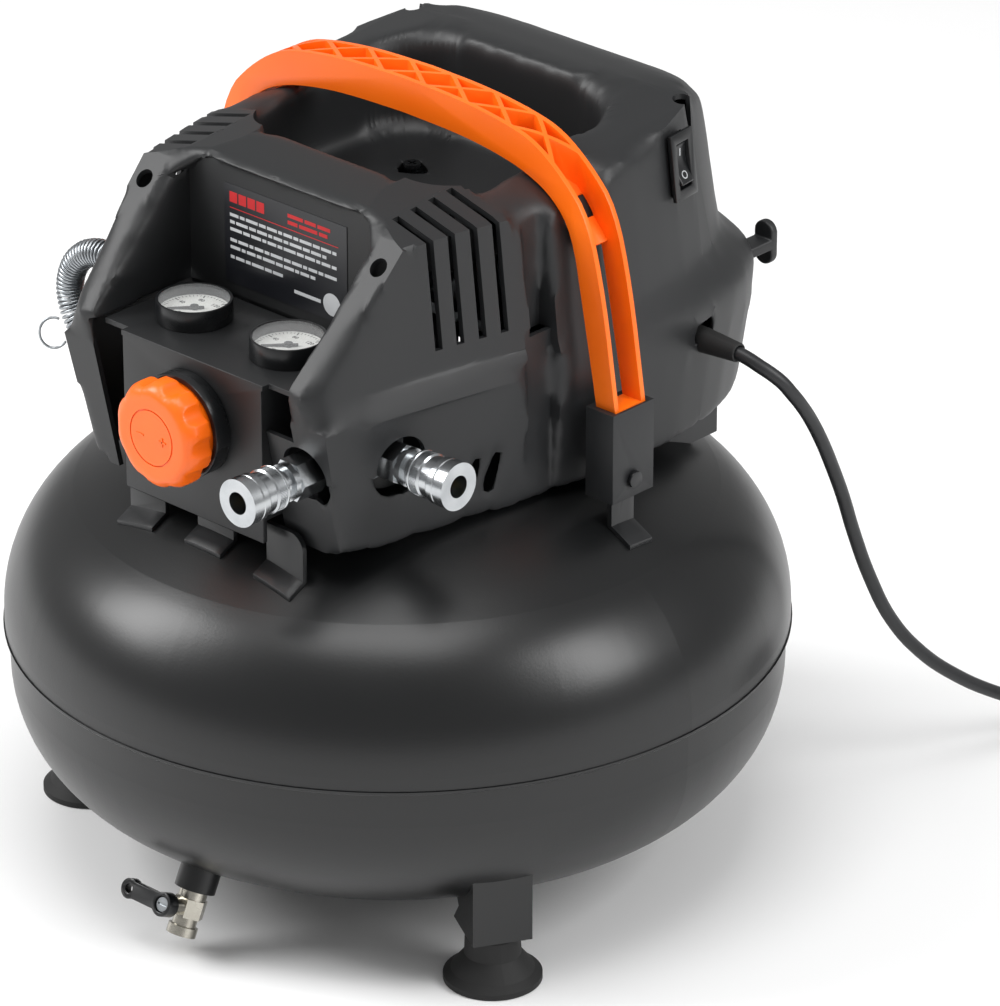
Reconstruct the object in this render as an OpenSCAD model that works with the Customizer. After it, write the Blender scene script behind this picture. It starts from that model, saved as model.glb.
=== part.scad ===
// Portable air compressor with a round "pancake" tank.
// Millimetres, +Z up. Origin: on the floor, on the tank axis.
// Front (gauges, regulator knob) faces -Y; +X is the right side seen from the front.

/* [Tank] */
// outside radius of the upper tank shell
tank_r = 210; // [180:1:240]
// steel thickness of both shells
tank_wall = 2.5; // [1.5:0.5:4]
// height of the girth seam above the floor
seam_z = 131; // [115:1:150]
// radius of the upper knuckle
top_knuckle = 80; // [60:1:90]
// radius of the upper crown
top_crown = 330; // [280:5:420]
// radius of the lower knuckle
low_knuckle = 71; // [55:1:85]
// radius of the lower crown
low_crown = 1050; // [800:10:1400]

/* [Legs and feet] */
// distance of each leg from the tank axis
leg_r = 177; // [150:1:185]
// width of the leg channel
leg_w = 32; // [24:1:44]
// steel thickness of the legs
leg_t = 3; // [2:0.5:4]
// diameter of the rubber foot
foot_d = 52; // [40:1:60]

/* [Cover] */
// wall thickness of the moulded cover
cover_wall = 3; // [2:0.5:4]
// height of the joint between lower and upper cover
parting_z = 284; // [275:1:292]
// height of the lower edge of the cover
cover_low_z = 236; // [232:1:244]
// depth of the hand pocket floor above the floor plane
pocket_z = 362; // [352:1:372]

/* [Handle] */
// width of the carrying handle front to back
handle_w = 23; // [18:1:26]
// thickness of the handle ribs and walls
handle_rib = 3; // [2:0.5:4]

/* [Controls] */
// diameter of the regulator knob
knob_d = 58; // [46:1:62]
// thickness of the regulator knob
knob_h = 17; // [12:1:20]
// outside diameter of each gauge case
gauge_d = 40; // [32:1:42]
// bore of the quick couplers
coupler_bore = 12; // [10:0.5:12.5]

/* [Pump] */
// radius of the motor stator
motor_r = 40; // [34:1:42]
// crank radius, half of the piston stroke
crank_r = 9; // [6:1:10]

/* [Mains lead] */
// outside diameter of the mains lead
cord_d = 7.5; // [6:0.5:9]

/* [Hidden] */
$fn = 96;
// tank profile
seat_r = tank_r - tank_wall;
up_k = [tank_r - top_knuckle, seam_z + 7];
up_c = up_k[1] - sqrt(pow(top_crown - top_knuckle, 2) - pow(up_k[0], 2));
lo_k = [seat_r - low_knuckle, seam_z - 22];
lo_c = lo_k[1] + sqrt(pow(low_crown - low_knuckle, 2) - pow(lo_k[0], 2));
dome_z = up_c + top_crown;
leg_angles = [60, 180, 300];
// threaded ports on top of the tank: check valve and pressure switch
port_x = [-50, 45];
// cover outlines seen from above, right half, front to back
lid_half = [[52, -153], [84, -153], [91, -145], [103, -74], [112, -37], [120, 0], [124, 30],
            [121, 70], [114, 108], [100, 142], [76, 170], [40, 187], [0, 192]];
tub_half = [[52, -157], [88, -157], [96, -149], [108, -74], [117, -37], [124, 0], [128, 30],
            [128, 62], [125, 104], [115, 148], [92, 186], [50, 204], [0, 208]];
// cover outline seen from the right side: Y and Z
side_line = [[-131, 230], [-152, 328], [-88, 396], [-78, 403], [-40, 409], [20, 416], [70, 420],
             [105, 421], [130, 418], [155, 408], [176, 391], [192, 366], [202, 335], [208, 310],
             [206, 286], [196, 262], [178, 242], [160, 230]];
// crown of the top seen from the front: X and drop
crown_line = [[-130, -26], [-112, -18], [-100, -13], [-70, -5], [-40, 0], [40, 0], [70, -5],
              [100, -13], [112, -18], [130, -26], [130, -240], [-130, -240]];
// flatter crown of the raised section behind the handle, and how far it reaches forward
rear_line = [[-130, -20], [-112, -11], [-100, -8], [-70, -3], [-40, 0.4], [40, 0.4], [70, -3],
             [100, -8], [112, -11], [130, -20], [130, -240], [-130, -240]];
rear_reach = 270;
// height of the crown line at its rear end and its slope down to the front
crown_z = 439;
crown_tilt = 5;
ledge_low = 311;
ledge_top = 325;
lean_y = 20;
lean_scale = 0.91;
// well for the gauges
well_x = 70;
well_y = -80;
well_z = 326;
// hand pocket
pocket_x = 78;
pocket_front = -45;
pocket_back = 92;
pocket_r = 34;
// handle line seen from the front, right half: outer edge and inner edge
handle_outer = [[0, 433], [40, 432], [72, 428], [92, 423], [112, 409], [129, 391], [140, 350],
                [149, 293], [150, 286]];
handle_inner = [[137, 286], [136, 293], [126, 345], [119, 380], [106, 396], [88, 405], [66, 410],
                [40, 413], [0, 414]];
handle_y = 6;
// couplers: position of the axis where it leaves the cover
cpl_z = 283;
// rocker switch: tilt at rest
rocker_tilt = 8;
switch_at = [109.4, 98, 388];
cpl_front = [74, -124, cpl_z];
cpl_side = [84, -101, cpl_z];
// regulator and gauges
reg_z = 291;
knob_y = -178;
gauge_x = 34;
gauge_y = -113;
gauge_z = 336;
// pump and motor: shaft parallel to X
shaft_y = 118;
shaft_z = 303;
pump_x = -52;
// drain valve
drain_x = 15;
drain_y = -166;
lever_l = 25;
// delivery pipe diameter
pipe_d = 9.5;
// mains lead: straight out of the right flank, down behind the tank and along the floor
cord_exit = [121, 107, 289];
cord_run = [[121, 107, 289], [128, 107, 289], [135, 107, 289], [142.5, 107.5, 288.5],
            [149.5, 109, 286.5], [156, 111.5, 283], [161, 115, 279], [165, 119, 274],
            [167.5, 123, 268], [168.5, 130, 259], [168, 139, 247], [168, 148, 232],
            [167, 158, 214], [166, 169, 192], [165, 181, 164], [166, 194, 134], [168, 211, 103],
            [172, 232, 77], [177, 257, 55], [183, 285, 36], [189, 313, 21], [194.3, 340, 10],
            [199.6, 367.3, 5], [205.7, 391.5, 4]];
// the rest of the lead lies in a coil: two turns side by side, two on them, one on top
coil_at = [252, 380];
coil_in = 40.25;
coil_out = 47.75;
coil_low = 4;
// tail from the top turn to the plug
cord_tail = [[299.75, 380, 19], [299.75, 372, 18.6], [299.6, 364, 17.4], [299.2, 356, 15.9],
             [298.6, 348, 14.6], [297.9, 340, 13.9], [297.2, 332, 13.6]];
plug_at = [297.4, 334, 13.6];

// ---------- tank ----------
module top_form(cut) {
    crown = top_crown - cut;
    knuckle = top_knuckle - cut;
    reach = crown * 1.2;
    aim = [up_k[0], up_k[1] - up_c];
    rotate_extrude($fn = 144)
    union() {
        intersection() {
            translate([0, up_c]) circle(r = crown, $fn = 360);
            translate([0, up_c]) polygon([[0, 0], aim * reach / norm(aim), [0, reach * 1.3]]);
            square([tank_r, 400]);
        }
        intersection() {
            translate(up_k) circle(r = knuckle);
            translate([0, up_k[1]]) square([tank_r + 1, 200]);
        }
        translate([0, seam_z]) square([tank_r - cut, up_k[1] - seam_z + 0.001]);
    }
}

module low_form(cut) {
    crown = low_crown - cut;
    knuckle = low_knuckle - cut;
    reach = crown * 1.2;
    aim = [lo_k[0], lo_k[1] - lo_c];
    rotate_extrude($fn = 144)
    union() {
        intersection() {
            translate([0, lo_c]) circle(r = crown, $fn = 720);
            translate([0, lo_c]) polygon([[0, 0], aim * reach / norm(aim), [0, -reach * 1.3]]);
            translate([0, -10]) square([tank_r, 200]);
        }
        intersection() {
            translate(lo_k) circle(r = knuckle);
            square([tank_r, lo_k[1]]);
        }
        translate([0, lo_k[1] - 0.001]) square([seat_r - cut, seam_z + 9 - lo_k[1]]);
    }
}

module tank_upper_shell() {
    color("#202224")
    difference() {
        top_form(0);
        top_form(tank_wall);
        for (x = port_x) {
            translate([x, -60, 200]) cylinder(d = 16, h = 80);
        }
    }
}

module tank_lower_shell() {
    color("#202224")
    difference() {
        low_form(0);
        low_form(tank_wall);
        translate([0, 0, seam_z + 7]) cylinder(r = tank_r, h = 10);
        drain_place() translate([0, 0, -10]) cylinder(d = 14, h = 50);
    }
}

module seam_weld() {
    color("#1b1c1e")
    rotate_extrude($fn = 144)
    polygon([[seat_r, seam_z], [seat_r, seam_z - 2.6], [seat_r + 1.2, seam_z - 2.8],
             [seat_r + 2.4, seam_z - 2.2], [seat_r + 3.1, seam_z - 1.2], [seat_r + 3.2, seam_z]]);
}

module tank_ports() {
    color("#2a2c2e")
    difference() {
        union() {
            for (x = port_x) {
                translate([x, -60, 238]) cylinder(d = 26, h = 20);
            }
        }
        top_form(0);
        for (x = port_x) {
            translate([x, -60, 230]) cylinder(d = 15.8, h = 60);
        }
    }
}

// ---------- legs and feet ----------
module leg_blank() {
    back = [[-19, 29], [16, 29], [16, 120], [-24, 120], [-24, 62], [-16, 48], [-10, 40]];
    rotate([90, 0, 0])
    linear_extrude(height = leg_w, center = true) polygon(back);
}

module tank_legs() {
    color("#1d1f21")
    difference() {
        for (a = leg_angles) {
            rotate([0, 0, a - 90])
            translate([leg_r, 0, 0])
            difference() {
                leg_blank();
                translate([-40 + 16 - leg_t, -leg_w / 2 + leg_t, 29 + leg_t])
                cube([40, leg_w - 2 * leg_t, 120]);
                translate([-2, 0, 20]) cylinder(d = 8.6, h = 30);
            }
        }
        low_form(0);
    }
}

module foot_profile() {
    difference() {
        polygon([[0, 2], [0, 29], [13, 29], [14.5, 26], [15, 15], [foot_d / 2 - 4, 6],
                 [foot_d / 2, 3], [foot_d / 2, 0], [foot_d / 2 - 3, 0], [10, 2]]);
        square([4.2, 40]);
        translate([0, -1]) square([8.4, 9]);
    }
}

module rubber_feet() {
    color("#161718")
    for (a = leg_angles) {
        rotate([0, 0, a - 90])
        translate([leg_r - 2, 0, 0]) rotate_extrude($fn = 64) foot_profile();
    }
}

module foot_bolts() {
    color("#8d9094")
    for (a = leg_angles) {
        rotate([0, 0, a - 90])
        translate([leg_r - 2, 0, 0])
        union() {
            translate([0, 0, 3]) cylinder(d = 13, h = 5);
            translate([0, 0, 8]) cylinder(d = 8, h = 27.5);
            translate([0, 0, 29 + leg_t]) cylinder(d = 14, h = 6, $fn = 6);
        }
    }
}

// ---------- drain valve ----------
module drain_place() {
    translate([drain_x, drain_y, 40]) rotate([-26, 0, 0]) children();
}

module drain_boss() {
    color("#1d1f21")
    difference() {
        drain_place() translate([0, 0, -8]) cylinder(d = 22, h = 30);
        low_form(0);
        drain_place() translate([0, 0, -40]) cylinder(d = 12, h = 90);
    }
}

module drain_valve_body() {
    color("#b9b4a8")
    drain_place()
    difference() {
        union() {
            translate([0, 0, -13]) cylinder(d = 15, h = 5);
            translate([0, 0, -8]) cylinder(d = 11.9, h = 22);
            translate([0, 0, -23]) cylinder(d = 18, h = 10, $fn = 6);
            translate([0, 0, -28]) cylinder(d = 13, h = 5);
            translate([0, 0, -33]) cylinder(d = 16, h = 5);
            translate([0, -15, -18]) rotate([-90, 0, 0]) cylinder(d = 9, h = 10);
        }
        translate([0, 0, -40]) cylinder(d = 6, h = 70);
    }
}

module drain_lever() {
    color("#151617")
    drain_place()
    translate([0, -22.5, -18])
    difference() {
        union() {
            rotate([-90, 0, 0]) cylinder(d = 13, h = 7);
            translate([-lever_l, 1, -4.5]) cube([lever_l, 5, 9]);
            translate([-lever_l, 1, 0]) rotate([-90, 0, 0]) cylinder(d = 11, h = 5);
        }
        translate([0, -1, 0]) rotate([-90, 0, 0]) cylinder(d = 9, h = 4.5);
        rotate([-90, 0, 0]) cylinder(d = 4.1, h = 10);
        translate([-lever_l, -1, 0]) rotate([-90, 0, 0]) cylinder(d = 5, h = 10);
    }
}

module drain_lever_screw() {
    color("#9a9da0")
    drain_place()
    translate([0, -21.5, -18])
    difference() {
        union() {
            rotate([-90, 0, 0]) cylinder(d = 7.6, h = 2.2);
            rotate([-90, 0, 0]) cylinder(d = 3.9, h = 6.4);
        }
        translate([-3, -1, -0.5]) cube([6, 1.8, 1]);
    }
}

// ---------- brackets welded on the tank ----------
module bracket_row() {
    for (x = [-45, 5, 55]) {
        translate([x, 0, 0]) children();
    }
}

module side_plate(gap) {
    for (s = [-1, 1]) {
        translate([s * 143.5 - 1.5, 9 - gap, 190]) cube([3, 17 + 2 * gap, 69 + gap]);
    }
}

module front_plate(gap) {
    bracket_row()
    translate([-13, -136, 195]) rotate([90, 0, 0]) linear_extrude(height = 3) square([26 + gap, 36]);
    // the right one is taller, with a rounded corner
    translate([42, -136, 195]) rotate([90, 0, 0])
    linear_extrude(height = 3)
    union() {
        square([18, 49 + gap]);
        square([26 + gap, 40]);
        translate([17, 40]) circle(d = 18);
    }
}

module cover_brackets() {
    color("#232527")
    difference() {
        union() {
            front_plate(0);
            side_plate(0);
            bracket_row() translate([-13, -149, 195]) cube([26, 13, 40]);
            for (s = [-1, 1]) {
                translate([s * 150 - 8, 9, 190]) cube([16, 17, 40]);
            }
        }
        top_form(0);
        difference() {
            translate([-240, -240, 100]) cube([480, 480, 136]);
            translate([0, 0, 2.5]) top_form(0);
            front_plate(1);
            side_plate(1);
        }
        translate([-200, 17.5, 250]) rotate([0, 90, 0]) cylinder(d = 5.2, h = 400);
    }
}

// ---------- pump cradle ----------
cradle_half = [[60, 72], [97, 72], [97, 148], [86, 164], [40, 164]];

module pump_cradle() {
    color("#303234")
    difference() {
        union() {
            translate([0, 0, 258]) linear_extrude(height = 3) polygon(both(cradle_half));
            for (x = [-95, 92]) {
                translate([x, 72, 214]) cube([3, 76, 45]);
            }
        }
        top_form(0);
        for (x = [-80, 70]) {
            for (y = [84, 158]) {
                translate([x, y, 250]) cylinder(d = 10.2, h = 20);
            }
        }
    }
}

module cradle_mounts() {
    color("#1a1b1c")
    for (x = [-80, 70]) {
        for (y = [84, 158]) {
            translate([x, y, 261])
            difference() {
                cylinder(d = 18, h = 4);
                translate([0, 0, -1]) cylinder(d = 6.2, h = 10);
            }
        }
    }
}

module cradle_bolts() {
    color("#8d9094")
    for (x = [-80, 70]) {
        for (y = [84, 158]) {
            translate([x, y, 0])
            union() {
                translate([0, 0, 252]) cylinder(d = 6, h = 20);
                translate([0, 0, 271]) cylinder(d = 11.5, h = 4, $fn = 6);
                translate([0, 0, 253.5]) cylinder(d = 12, h = 4.5, $fn = 6);
            }
        }
    }
}

// ---------- cover ----------
function corner(p, i) = [0.72 * p[i] + 0.28 * p[i - 1], 0.72 * p[i] + 0.28 * p[i + 1]];
function soft_half(p) = concat([p[0]], [for (i = [1:len(p) - 2]) each corner(p, i)], [p[len(p) - 1]]);
function both(half) = concat(half, [for (i = [len(half) - 1:-1:0]) [-half[i][0], half[i][1]]]);

module side_form(t) {
    rotate([90, 0, 90])
    linear_extrude(height = 300, center = true)
    offset(delta = -t) polygon(side_line);
}

module crown_form(t) {
    translate([0, 300, crown_z - t])
    rotate([90 + crown_tilt, 0, 0])
    union() {
        linear_extrude(height = 700) polygon(crown_line);
        linear_extrude(height = rear_reach - t) polygon(rear_line);
    }
}

module lid_form(t) {
    intersection() {
        translate([0, lean_y, ledge_top])
        linear_extrude(height = 120, scale = 1 - (1 - lean_scale) * 1.2)
        translate([0, -lean_y]) offset(delta = -t) polygon(both(soft_half(lid_half)));
        crown_form(t);
    }
}

module tub_form(t) {
    union() {
        translate([0, lean_y, ledge_low])
        mirror([0, 0, 1])
        linear_extrude(height = 90, scale = 0.93)
        translate([0, -lean_y]) offset(delta = -t) polygon(both(soft_half(tub_half)));
        hull() {
            translate([0, 0, ledge_low - 0.01])
            linear_extrude(height = 0.01) offset(delta = -t) polygon(both(soft_half(tub_half)));
            translate([0, 0, ledge_top])
            linear_extrude(height = 0.01) offset(delta = -t) polygon(both(soft_half(lid_half)));
        }
    }
}

module cover_form(t) {
    intersection() {
        union() {
            lid_form(t);
            tub_form(t);
        }
        side_form(t);
    }
}

module rounded_plan(x, y0, y1, r) {
    union() {
        translate([-x, y0 + r]) square([2 * x, y1 - y0 - 2 * r]);
        translate([-x + r, y0]) square([2 * x - 2 * r, y1 - y0]);
        for (sx = [-1, 1]) {
            for (y = [y0 + r, y1 - r]) {
                translate([sx * (x - r), y]) circle(r = r);
            }
        }
    }
}

// room for the handle legs in both flanks of the cover
module handle_room(g) {
    difference() {
        translate([0, handle_y + handle_w + 1 + g, 0])
        rotate([90, 0, 0])
        linear_extrude(height = handle_w + 2 + 2 * g)
        difference() {
            translate([-170, 200]) square([340, 260]);
            polygon(concat(both([for (p = handle_inner) [p[0] - 1 - g, p[1] - 1 - g]])));
            translate([-127 + g, 200]) square([254 - 2 * g, 100]);
        }
        translate([-60, -100, 200]) cube([120, 200, 250]);
    }
}

module flank_groove(g) {
    for (s = [-1, 1]) {
        translate([s * (114 - g) - (s < 0 ? 40 : 0), -24 - g, 200]) cube([40, 20 + 2 * g, 135]);
        translate([s * (106 - g) - (s < 0 ? 40 : 0), -20 - g, 330]) cube([40, 16 + 2 * g, 100]);
    }
}

module pocket_form(g) {
    translate([0, 0, pocket_z - g])
    linear_extrude(height = 100)
    rounded_plan(pocket_x + g, pocket_front - g, pocket_back + g, pocket_r + g);
}

module well_form(g) {
    translate([0, well_y + g, 0])
    rotate([90, 0, 0])
    linear_extrude(height = 120)
    union() {
        translate([-well_x - g, 300]) square([2 * well_x + 2 * g, 412 - 22 - 300]);
        translate([-well_x + 22, 300]) square([2 * well_x - 44, 100 + g]);
        for (s = [-1, 1]) {
            translate([s * (well_x - 22), 400 - 22]) circle(r = 22 + g);
        }
    }
}

module cover_shell() {
    difference() {
        union() {
            difference() {
                cover_form(0);
                difference() {
                    cover_form(cover_wall);
                    handle_room(cover_wall);
                    flank_groove(cover_wall);
                }
            }
            intersection() {
                cover_form(0.5);
                difference() {
                    union() {
                        pocket_form(cover_wall);
                        intersection() {
                            well_form(cover_wall);
                            translate([-100, -200, 300]) cube([200, 200, 200]);
                        }
                    }
                    translate([-60, well_y - 100, 200]) cube([120, 100, 105]);
                }
            }
        }
        handle_room(0);
        flank_groove(0);
        pocket_form(0);
        well_form(0);
    }
}

module upper_cover() {
    color("#2b2d2f")
    difference() {
        intersection() {
            cover_shell();
            translate([-200, -220, parting_z]) cube([400, 460, 200]);
        }
        // opening behind the control panel
        translate([-73, -200, 200]) cube([123.3, 122, well_z - 200]);
        // vents
        for (s = [-1, 1]) {
            for (i = [0:3]) {
                translate([s > 0 ? 72 : -132, -76.3 + 13 * i, 337]) cube([60, 4.5, 80]);
            }
        }
        // coupler clearance holes
        translate([cpl_front[0], -100, cpl_z]) rotate([90, 0, 0]) cylinder(d = 30, h = 80);
        translate([60, cpl_side[1], cpl_z]) rotate([0, 90, 0]) cylinder(d = 30, h = 80);
        // screw pits
        for (s = [-1, 1]) {
            translate([s * 84, -93, 375]) rotate([30, 0, 0]) cylinder(d = 10, h = 60);
            translate([s * 96, 115, 395]) cylinder(d = 10, h = 60);
            translate([s * 32, 46, 350]) cylinder(d = 4.4, h = 60);
        }
        // switch window
        switch_place() cube([40, 16.4, 32.4], center = true);
        switch_place() translate([6.4, 0, 0]) cube([10, 24, 42], center = true);
        // cord outlet
        translate(cord_exit) rotate([0, 90, 0]) cylinder(d = 14, h = 40, center = true);
    }
}

module lower_cover() {
    color("#28292b")
    difference() {
        intersection() {
            cover_shell();
            translate([-200, -220, cover_low_z]) cube([400, 460, parting_z - cover_low_z]);
        }
        translate([-73, -200, 200]) cube([123.3, 122, 130]);
        translate([cpl_front[0], -100, cpl_z]) rotate([90, 0, 0]) cylinder(d = 30, h = 80);
        translate([60, cpl_side[1], cpl_z]) rotate([0, 90, 0]) cylinder(d = 30, h = 80);
        translate(cord_exit) rotate([0, 90, 0]) cylinder(d = 14, h = 40, center = true);
        for (s = [-1, 1]) {
            for (i = [0:2]) {
                translate([s > 0 ? 90 : -140, -70 + 12 * i, 252]) rotate([-12, 0, 0]) cube([50, 4, 20]);
            }
        }
    }
}

// ---------- control panel ----------
module control_panel() {
    color("#2b2d2f")
    difference() {
        union() {
            translate([-50, -149, 238]) cube([100, 3, well_z - 238]);
            translate([-68, -149, well_z - 3]) cube([136, 68.5, 3]);
            translate([-50, -149, 238]) cube([3, 40, well_z - 238]);
            translate([47, -149, 250]) cube([3, 40, well_z - 250]);
        }
        translate([0, -130, reg_z]) rotate([90, 0, 0]) cylinder(d = 34.4, h = 30);
        for (s = [-1, 1]) {
            translate([s * gauge_x, gauge_y, 300]) cylinder(d = 22, h = 40);
        }
        translate([51, -160, 320]) cube([20, 16, 10]);
        translate([-71, -160, 320]) cube([20, 16, 10]);
    }
}

module data_label() {
    color("#1c1c1e")
    translate([-44, well_y - 0.4, 334]) cube([88, 0.4, 55]);
}

module cover_screws() {
    color("#17181a")
    union() {
        for (s = [-1, 1]) {
            translate([s * 32, 46, pocket_z - 3 - 8]) cylinder(d = 4.2, h = 11.5);
            translate([s * 32, 46, pocket_z])
            difference() {
                cylinder(d = 9, h = 2.4);
                translate([-3, -0.6, 1.2]) cube([6, 1.2, 3]);
                translate([-0.6, -3, 1.2]) cube([1.2, 6, 3]);
            }
        }
    }
}

// ---------- handle ----------
// one round of corner cutting on an open line
function cut_corners(p) = concat(
    [p[0]],
    [for (i = [0:len(p) - 2]) each [0.75 * p[i] + 0.25 * p[i + 1], 0.25 * p[i] + 0.75 * p[i + 1]]],
    [p[len(p) - 1]]);

module handle_core() {
    outer = cut_corners(cut_corners(handle_outer));
    inner = cut_corners(cut_corners(handle_inner));
    polygon(concat(
        outer,
        inner,
        [for (i = [len(inner) - 2:-1:0]) [-inner[i][0], inner[i][1]]],
        [for (i = [len(outer) - 1:-1:1]) [-outer[i][0], outer[i][1]]]));
}

module handle_slab(y, w) {
    translate([0, y + w, 0]) rotate([90, 0, 0]) linear_extrude(height = w) children();
}

module carry_handle() {
    color("#f07a22")
    union() {
        handle_slab(handle_y, handle_rib) handle_core();
        handle_slab(handle_y + handle_w - handle_rib, handle_rib) handle_core();
        handle_slab(handle_y, handle_w)
        difference() {
            handle_core();
            translate([0, 3]) handle_core();
            translate([-100, 400]) square([200, 12]);
            for (s = [-1, 1]) {
                translate([s * 3, 3]) handle_core();
            }
            translate([-200, 200]) square([400, 86.5]);
        }
        handle_slab(handle_y, handle_w)
        intersection() {
            handle_core();
            union() {
                translate([-151, 285]) square([302, 5]);
                for (s = [-1, 1]) {
                    translate([s * 120 - 9, 384]) rotate([0, 0, s * -48]) square([18, 3]);
                }
            }
        }
        // lattice between the two walls
        intersection() {
            handle_slab(handle_y, handle_w) handle_core();
            for (i = [-3:3]) {
                for (a = [-35, 35]) {
                    translate([i * 30, handle_y + handle_w / 2, 400])
                    rotate([0, 0, a]) cube([40, 2.4, 80], center = true);
                }
            }
        }
    }
}

module handle_clips() {
    color("#1f2022")
    for (s = [-1, 1]) {
        scale([s, 1, 1])
        difference() {
            translate([133, 2, 240]) cube([19, 31, 50]);
            translate([136.4, 5.6, 285]) cube([14.2, 23.8, 20]);
            translate([146.5, 8, 262]) cube([4, 19, 24]);
            translate([141.8, 8.8, 200]) cube([3.4, 17.4, 61]);
            translate([120, 17.5, 250]) rotate([0, 90, 0]) cylinder(d = 5.2, h = 60);
        }
    }
}

module handle_bolts() {
    color("#8d9094")
    for (s = [-1, 1]) {
        scale([s, 1, 1])
        translate([129, 17.5, 250]) rotate([0, 90, 0])
        union() {
            translate([0, 0, 3]) cylinder(d = 5, h = 21);
            translate([0, 0, 1]) cylinder(d = 9, h = 3);
            translate([0, 0, 23]) cylinder(d = 9, h = 2.5);
        }
    }
}

// ---------- switch ----------
module switch_place() {
    translate(switch_at) rotate([0, -7, 8]) children();
}

module switch_body() {
    color("#18191a")
    switch_place()
    difference() {
        union() {
            translate([-22, -7.5, -15.5]) cube([24, 15, 31]);
            translate([1.2, -10, -18]) cube([2.5, 20, 36]);
        }
        translate([-12, -5.5, -12.5]) cube([20, 11, 25]);
    }
}

module switch_rocker() {
    color("#1e1f21")
    switch_place()
    difference() {
        translate([-3, 0, 0]) rotate([0, -rocker_tilt, 0]) translate([-3.5, -5.2, -11]) cube([10, 10.4, 22]);
        translate([-3, 0, 0]) rotate([0, -rocker_tilt, 0])
        translate([30.5, 0, 0]) rotate([90, 0, 0]) cylinder(r = 26, h = 20, center = true);
    }
}

// ---------- gauges ----------
module gauge_cases() {
    color("#141516")
    for (s = [-1, 1]) {
        translate([s * gauge_x, gauge_y, 0])
        difference() {
            union() {
                translate([0, 0, well_z]) cylinder(d = gauge_d, h = gauge_z - well_z + 1.5);
                translate([0, 0, 300]) cylinder(d = 12, h = 40);
            }
            translate([0, 0, well_z + 3]) cylinder(d = gauge_d - 3, h = 30);
        }
    }
}

module gauge_dials() {
    color("#e8e9e6")
    for (s = [-1, 1]) {
        translate([s * gauge_x, gauge_y, well_z + 3])
        difference() {
            cylinder(d = gauge_d - 3, h = 2);
            translate([0, 0, 1]) cylinder(d = 3.2, h = 8);
        }
    }
}

module needle(x) {
    translate([x, gauge_y, well_z + 5.4])
    union() {
        translate([0, 0, -1.2]) cylinder(d = 2.8, h = 1.3);
        cylinder(d = 4.4, h = 1.6);
        rotate([0, 0, 225])
        linear_extrude(height = 0.8)
        polygon([[0, -1.3], [14, -0.3], [14, 0.3], [0, 1.3], [-5, 0.9], [-5, -0.9]]);
    }
}

module gauge_needle_left() {
    color("#101010")
    needle(-gauge_x);
}

module gauge_needle_right() {
    color("#101010")
    needle(gauge_x);
}

module gauge_lenses() {
    color([0.9, 0.95, 1, 0.35])
    for (s = [-1, 1]) {
        translate([s * gauge_x, gauge_y, gauge_z - 0.5]) cylinder(d = gauge_d - 3, h = 1.5);
    }
}

// ---------- regulator ----------
module regulator_body() {
    color("#9a7b3c")
    difference() {
        union() {
            translate([0, -148.8 + 3, reg_z]) rotate([-90, 0, 0]) cylinder(d = 34, h = 24);
            translate([0, -152, reg_z]) rotate([-90, 0, 0]) cylinder(d = 24, h = 8);
            translate([-44, -124, 276]) cube([88, 28, 24]);
        }
        translate([0, -170, reg_z]) rotate([-90, 0, 0]) cylinder(d = 12.1, h = 40);
    }
}

module regulator_collar() {
    color("#161718")
    translate([0, -149, reg_z])
    rotate([90, 0, 0])
    difference() {
        cylinder(d = knob_d - 2, h = 10);
        translate([0, 0, -1]) cylinder(d = 24.1, h = 4);
        translate([0, 0, 3]) cylinder(d = knob_d - 8, h = 20);
        cylinder(d = 13, h = 20);
    }
}

module regulator_knob() {
    color("#f07a22")
    translate([0, knob_y + knob_h, reg_z])
    rotate([90, 0, 0])
    difference() {
        union() {
            cylinder(d = knob_d, h = knob_h - 4);
            translate([0, 0, knob_h - 4]) cylinder(d1 = knob_d, d2 = knob_d - 8, h = 4);
            translate([0, 0, -20]) cylinder(d = 12, h = 21);
            translate([0, 0, -7]) cylinder(d = knob_d - 9, h = 8);
        }
        for (i = [0:9]) {
            rotate([0, 0, i * 36]) translate([knob_d / 2 + 5.5, 0, -1]) cylinder(d = 16, h = 40);
        }
        translate([0, 0, knob_h - 0.8])
        difference() {
            cylinder(d = 31, h = 2);
            cylinder(d = 29.4, h = 3, center = true);
        }
    }
}

// ---------- air side ----------
module air_manifold() {
    color("#9a9da0")
    difference() {
        union() {
            translate([-50, -96, cpl_z - 14]) cube([122, 24, 28]);
            translate([62, -124, cpl_z - 12]) cube([24, 40, 24]);
        }
        translate([cpl_front[0], -115, cpl_z]) rotate([90, 0, 0]) cylinder(d = 12.9, h = 60);
        translate([66, cpl_side[1], cpl_z]) rotate([0, 90, 0]) cylinder(d = 12.9, h = 60);
    }
}

module coupler_body() {
    difference() {
        union() {
            translate([0, 0, -9]) cylinder(d = 12.9, h = 22);
            translate([0, 0, 12]) cylinder(d = 23, h = 18, $fn = 6);
            translate([0, 0, 29]) cylinder(d = 16, h = 36);
            translate([0, 0, 30]) cylinder(d = 20, h = 4);
        }
        translate([0, 0, -10]) cylinder(d = 8, h = 70);
        translate([0, 0, 44]) cylinder(d = coupler_bore, h = 40);
    }
}

module at_front() {
    translate([cpl_front[0], cpl_front[1], cpl_z]) rotate([90, 0, 0]) children();
}

module at_side() {
    translate([75, cpl_side[1], cpl_z]) rotate([0, 90, 0]) children();
}

module coupler_bodies() {
    color("#c9ccd0")
    union() {
        at_front() coupler_body();
        at_side() coupler_body();
    }
}

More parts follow.
